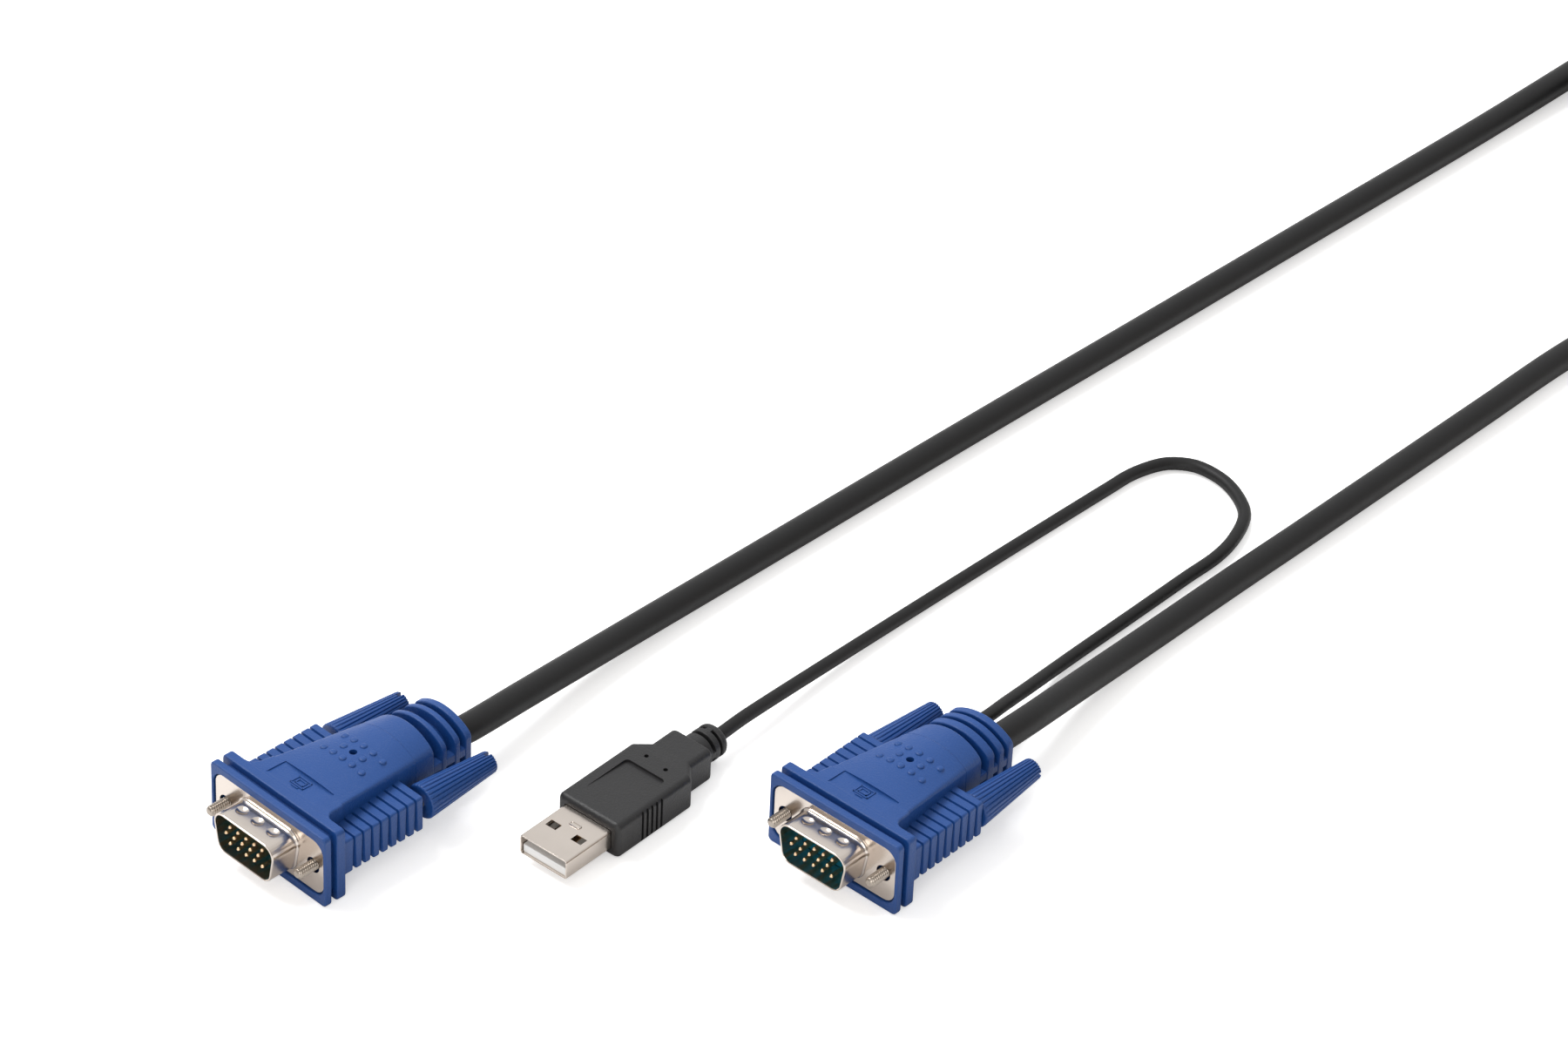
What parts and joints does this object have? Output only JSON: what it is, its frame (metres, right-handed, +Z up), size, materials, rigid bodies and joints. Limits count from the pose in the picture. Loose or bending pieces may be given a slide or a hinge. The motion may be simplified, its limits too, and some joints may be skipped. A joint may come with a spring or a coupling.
{
  "type": "kvm cable",
  "caption": "Computer switch cable with blue thumbscrew D plugs, a USB plug on a thin branch, and its spare length coiled in a tie.",
  "frame": {"origin": "on the floor, z = 0, under the middle of the box round the D plugs, cords and USB plug left out", "axes": "+Z up; the plugs mate towards -Y, plug B exactly and plug A within 3 degrees; the cables run back towards +Y"},
  "size_m": [0.1144, 0.4774, 0.0169],
  "materials": {
    "blue_plastic": "fine-grained satin moulding",
    "nickel_plate": "bright nickel plating",
    "gold_plate": "bright gold plating",
    "insulator_a": "near-black moulding",
    "insulator_b": "dark teal moulding",
    "charcoal_plastic": "satin charcoal moulding",
    "white_plastic": "plain white moulding",
    "black_pvc": "satin black jacket",
    "black_strap": "black hook-and-loop strap"
  },
  "bodies": {
    "cable_set": {"coil_tie": "black_strap", "d_shell_a": "nickel_plate", "d_shell_b": "nickel_plate", "hood_a": "blue_plastic", "hood_b": "blue_plastic", "insulator_a": "insulator_a", "insulator_b": "insulator_b", "main_cable_a": "black_pvc", "main_cable_b": "black_pvc", "main_cable_coil": "black_pvc", "pin_a_01": "gold_plate", "pin_a_02": "gold_plate", "pin_a_03": "gold_plate", "pin_a_04": "gold_plate", "pin_a_05": "gold_plate", "pin_a_06": "gold_plate", "pin_a_07": "gold_plate", "pin_a_08": "gold_plate", "pin_a_09": "gold_plate", "pin_a_10": "gold_plate", "pin_a_11": "gold_plate", "pin_a_12": "gold_plate", "pin_a_13": "gold_plate", "pin_a_14": "gold_plate", "pin_a_15": "gold_plate", "pin_b_01": "gold_plate", "pin_b_02": "gold_plate", "pin_b_03": "gold_plate", "pin_b_04": "gold_plate", "pin_b_05": "gold_plate", "pin_b_06": "gold_plate", "pin_b_07": "gold_plate", "pin_b_08": "gold_plate", "pin_b_09": "gold_plate", "pin_b_10": "gold_plate", "pin_b_11": "gold_plate", "pin_b_12": "gold_plate", "pin_b_13": "gold_plate", "pin_b_14": "gold_plate", "pin_b_15": "gold_plate", "rear_shell_a": "nickel_plate", "rear_shell_b": "nickel_plate", "usb_cable": "black_pvc", "usb_contact_1": "gold_plate", "usb_contact_2": "gold_plate", "usb_contact_3": "gold_plate", "usb_contact_4": "gold_plate", "usb_overmould": "charcoal_plastic", "usb_shell": "nickel_plate", "usb_tongue": "white_plastic"},
    "thumbscrew_a_left": {"screw_a_left": "nickel_plate", "handle_a_left": "blue_plastic"},
    "thumbscrew_a_right": {"screw_a_right": "nickel_plate", "handle_a_right": "blue_plastic"},
    "thumbscrew_b_left": {"screw_b_left": "nickel_plate", "handle_b_left": "blue_plastic"},
    "thumbscrew_b_right": {"screw_b_right": "nickel_plate", "handle_b_right": "blue_plastic"}
  },
  "joints": [
    {"name": "thumbscrew_a_left_turn", "type": "hinge", "parent": "cable_set", "child": "thumbscrew_a_left", "pos_m": [-0.05165, -0.05489, 0.00827], "axis": [0.0476, 0.9989, 0], "continuous": true},
    {"name": "thumbscrew_a_right_turn", "type": "hinge", "parent": "cable_set", "child": "thumbscrew_a_right", "pos_m": [-0.02669, -0.05607, 0.00827], "axis": [0.0476, 0.9989, 0], "continuous": true},
    {"name": "thumbscrew_b_left_turn", "type": "hinge", "parent": "cable_set", "child": "thumbscrew_b_left", "pos_m": [0.02666, 0.01763, 0.00827], "axis": [0, 1, 0], "continuous": true},
    {"name": "thumbscrew_b_right_turn", "type": "hinge", "parent": "cable_set", "child": "thumbscrew_b_right", "pos_m": [0.05165, 0.01763, 0.00827], "axis": [0, 1, 0], "continuous": true}
  ]
}
